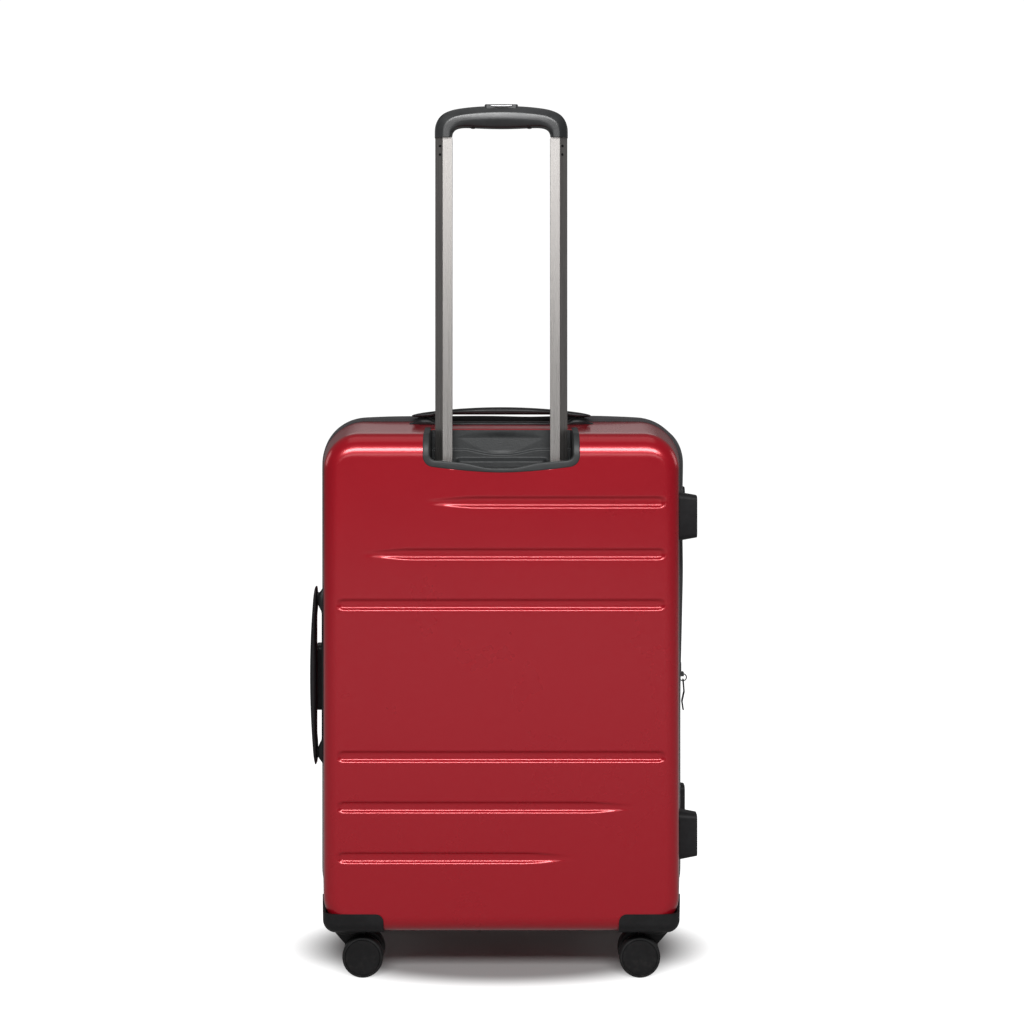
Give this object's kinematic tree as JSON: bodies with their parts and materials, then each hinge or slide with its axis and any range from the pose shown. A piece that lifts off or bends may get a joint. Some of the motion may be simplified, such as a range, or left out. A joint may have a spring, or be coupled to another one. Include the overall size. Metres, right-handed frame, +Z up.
{
  "type": "hard shell suitcase on wheels",
  "caption": "Upright hard-shell suitcase with grooved moulded shells, zipped expandable band, telescopic trolley handle, carry handles, side lock and swivelling twin-wheel casters.",
  "frame": {"origin": "on the floor under the middle of the object's box, standing on its casters with the trolley pulled out", "axes": "+Z up, +X across the case towards the side feet, -Y towards the trolley side"},
  "size_m": [0.465, 0.2716, 1.021],
  "materials": {
    "shell_red": "satin, fine grain",
    "lining_fabric": "woven",
    "gusset_fabric": "woven",
    "band_fabric": "woven tape",
    "strap_webbing": "ribbed webbing",
    "tube_aluminium": "grey anodised",
    "plain_aluminium": "mill finish",
    "wheel_rubber": "matt",
    "pin_steel": "satin",
    "zip_metal": "dark nickel",
    "pull_rubber": "matt",
    "grip_plastic": "satin",
    "dial_plastic": "satin",
    "handle_plastic": "satin",
    "black_plastic": "fine texture"
  },
  "bodies": {
    "back_case": {"back_shell": "shell_red", "back_lining": "lining_fabric", "trolley_cup": "black_plastic", "guide_tubes": "plain_aluminium", "trolley_base": "black_plastic", "top_handle_base": "black_plastic", "side_handle_base": "black_plastic", "back_band": "band_fabric", "wheel_housing_back_left": "black_plastic", "wheel_housing_back_right": "black_plastic", "side_feet_back": "black_plastic", "packing_straps": "strap_webbing", "strap_buckle": "black_plastic", "lock_body": "black_plastic", "hinge_strip": "gusset_fabric"},
    "mid_frame": {"mid_band": "band_fabric", "expansion_gusset": "gusset_fabric"},
    "front_case": {"front_shell": "shell_red", "front_band": "band_fabric", "front_lining": "lining_fabric", "wheel_housing_front_left": "black_plastic", "wheel_housing_front_right": "black_plastic", "side_feet_front": "black_plastic"},
    "trolley": {"trolley_tube_left": "tube_aluminium", "trolley_tube_right": "tube_aluminium", "grip_base": "grip_plastic", "grip_cover": "grip_plastic", "tube_plugs": "black_plastic", "trolley_rivets": "pin_steel"},
    "grip_button": {"grip_button": "grip_plastic", "push_rods": "plain_aluminium"},
    "lock_pin_left": {"lock_pin_left": "pin_steel"},
    "lock_pin_right": {"lock_pin_right": "pin_steel"},
    "top_handle": {"top_handle": "handle_plastic"},
    "side_handle": {"side_handle": "handle_plastic"},
    "lock_dial_1": {"lock_dial_1": "dial_plastic"},
    "lock_dial_2": {"lock_dial_2": "dial_plastic"},
    "lock_dial_3": {"lock_dial_3": "dial_plastic"},
    "lock_button": {"lock_button": "black_plastic"},
    "main_zip_pull_lower": {"main_zip_pull_lower": "zip_metal"},
    "main_zip_pull_upper": {"main_zip_pull_upper": "zip_metal"},
    "expansion_slider": {"expansion_slider": "zip_metal"},
    "ring_pull": {"pull_ring": "zip_metal", "pull_strap": "pull_rubber"},
    "caster_back_left": {"caster_fork_back_left": "black_plastic", "caster_axle_back_left": "pin_steel"},
    "wheel_back_left_outer": {"wheel_back_left_outer": "wheel_rubber"},
    "wheel_back_left_inner": {"wheel_back_left_inner": "wheel_rubber"},
    "caster_back_right": {"caster_fork_back_right": "black_plastic", "caster_axle_back_right": "pin_steel"},
    "wheel_back_right_outer": {"wheel_back_right_outer": "wheel_rubber"},
    "wheel_back_right_inner": {"wheel_back_right_inner": "wheel_rubber"},
    "caster_front_left": {"caster_fork_front_left": "black_plastic", "caster_axle_front_left": "pin_steel"},
    "wheel_front_left_outer": {"wheel_front_left_outer": "wheel_rubber"},
    "wheel_front_left_inner": {"wheel_front_left_inner": "wheel_rubber"},
    "caster_front_right": {"caster_fork_front_right": "black_plastic", "caster_axle_front_right": "pin_steel"},
    "wheel_front_right_outer": {"wheel_front_right_outer": "wheel_rubber"},
    "wheel_front_right_inner": {"wheel_front_right_inner": "wheel_rubber"}
  },
  "joints": [
    {"name": "case_hinge", "type": "hinge", "parent": "back_case", "child": "mid_frame", "pos_m": [0.235, 0, 0.347], "axis": [0, 0, -1], "range_deg": [0, 180], "deforming": ["hinge_strip"]},
    {"name": "expansion_slide", "type": "slide", "parent": "mid_frame", "child": "front_case", "axis": [0, 1, 0], "range_m": [0, 0.035], "deforming": ["expansion_gusset"]},
    {"name": "trolley_slide", "type": "slide", "parent": "back_case", "child": "trolley", "axis": [0, 0, 1], "range_m": [-0.384, 0]},
    {"name": "button_press", "type": "slide", "parent": "trolley", "child": "grip_button", "axis": [0, 0, 1], "range_m": [-0.004, 0], "stiffness_N_per_m": 500, "springref_m": 0.004},
    {"name": "lock_pin_left_slide", "type": "slide", "parent": "trolley", "child": "lock_pin_left", "axis": [-1, 0, 0], "range_m": [-0.002, 0]},
    {"name": "lock_pin_right_slide", "type": "slide", "parent": "trolley", "child": "lock_pin_right", "axis": [1, 0, 0], "range_m": [-0.002, 0]},
    {"name": "top_handle_lift", "type": "slide", "parent": "back_case", "child": "top_handle", "axis": [0, 0, 1], "range_m": [0, 0.005], "stiffness_N_per_m": 600, "springref_m": -0.002},
    {"name": "side_handle_lift", "type": "slide", "parent": "back_case", "child": "side_handle", "axis": [-1, 0, 0], "range_m": [0, 0.005], "stiffness_N_per_m": 600, "springref_m": -0.002},
    {"name": "lock_dial_1_turn", "type": "hinge", "parent": "back_case", "child": "lock_dial_1", "pos_m": [-0.2205, -0.04, 0.345], "axis": [0, 0, 1], "continuous": true},
    {"name": "lock_dial_2_turn", "type": "hinge", "parent": "back_case", "child": "lock_dial_2", "pos_m": [-0.2205, -0.04, 0.354], "axis": [0, 0, 1], "continuous": true},
    {"name": "lock_dial_3_turn", "type": "hinge", "parent": "back_case", "child": "lock_dial_3", "pos_m": [-0.2205, -0.04, 0.363], "axis": [0, 0, 1], "continuous": true},
    {"name": "lock_button_press", "type": "slide", "parent": "back_case", "child": "lock_button", "axis": [1, 0, 0], "range_m": [0, 0.002], "stiffness_N_per_m": 400, "springref_m": -0.002},
    {"name": "main_zip_lower_slide", "type": "slide", "parent": "back_case", "child": "main_zip_pull_lower", "axis": [0, 0, 1], "range_m": [-0.2, 0]},
    {"name": "main_zip_upper_slide", "type": "slide", "parent": "back_case", "child": "main_zip_pull_upper", "axis": [0, 0, 1], "range_m": [0, 0.2]},
    {"name": "expansion_zip_slide", "type": "slide", "parent": "mid_frame", "child": "expansion_slider", "axis": [0, 0, 1], "range_m": [-0.15, 0.2]},
    {"name": "ring_pull_swing", "type": "hinge", "parent": "expansion_slider", "child": "ring_pull", "pos_m": [0.2244, 0.00525, 0.3325], "axis": [0, -1, 0], "range_deg": [0, 35]},
    {"name": "swivel_back_left", "type": "hinge", "parent": "back_case", "child": "caster_back_left", "pos_m": [-0.179, -0.091, 0.053], "axis": [0, 0, 1], "continuous": true},
    {"name": "spin_back_left_outer", "type": "hinge", "parent": "caster_back_left", "child": "wheel_back_left_outer", "pos_m": [-0.162, -0.106, 0.024], "axis": [0, 1, 0], "continuous": true},
    {"name": "spin_back_left_inner", "type": "hinge", "parent": "caster_back_left", "child": "wheel_back_left_inner", "pos_m": [-0.162, -0.076, 0.024], "axis": [0, 1, 0], "continuous": true},
    {"name": "swivel_back_right", "type": "hinge", "parent": "back_case", "child": "caster_back_right", "pos_m": [0.179, -0.091, 0.053], "axis": [0, 0, 1], "continuous": true},
    {"name": "spin_back_right_outer", "type": "hinge", "parent": "caster_back_right", "child": "wheel_back_right_outer", "pos_m": [0.162, -0.106, 0.024], "axis": [0, 1, 0], "continuous": true},
    {"name": "spin_back_right_inner", "type": "hinge", "parent": "caster_back_right", "child": "wheel_back_right_inner", "pos_m": [0.162, -0.076, 0.024], "axis": [0, 1, 0], "continuous": true},
    {"name": "swivel_front_left", "type": "hinge", "parent": "front_case", "child": "caster_front_left", "pos_m": [-0.179, 0.091, 0.053], "axis": [0, 0, 1], "continuous": true},
    {"name": "spin_front_left_outer", "type": "hinge", "parent": "caster_front_left", "child": "wheel_front_left_outer", "pos_m": [-0.162, 0.106, 0.024], "axis": [0, 1, 0], "continuous": true},
    {"name": "spin_front_left_inner", "type": "hinge", "parent": "caster_front_left", "child": "wheel_front_left_inner", "pos_m": [-0.162, 0.076, 0.024], "axis": [0, 1, 0], "continuous": true},
    {"name": "swivel_front_right", "type": "hinge", "parent": "front_case", "child": "caster_front_right", "pos_m": [0.179, 0.091, 0.053], "axis": [0, 0, 1], "continuous": true},
    {"name": "spin_front_right_outer", "type": "hinge", "parent": "caster_front_right", "child": "wheel_front_right_outer", "pos_m": [0.162, 0.106, 0.024], "axis": [0, 1, 0], "continuous": true},
    {"name": "spin_front_right_inner", "type": "hinge", "parent": "caster_front_right", "child": "wheel_front_right_inner", "pos_m": [0.162, 0.076, 0.024], "axis": [0, 1, 0], "continuous": true}
  ],
  "couplings": [
    {"joint": "lock_pin_left_slide", "follows": "button_press", "ratio": 0.5},
    {"joint": "lock_pin_right_slide", "follows": "button_press", "ratio": 0.5}
  ]
}
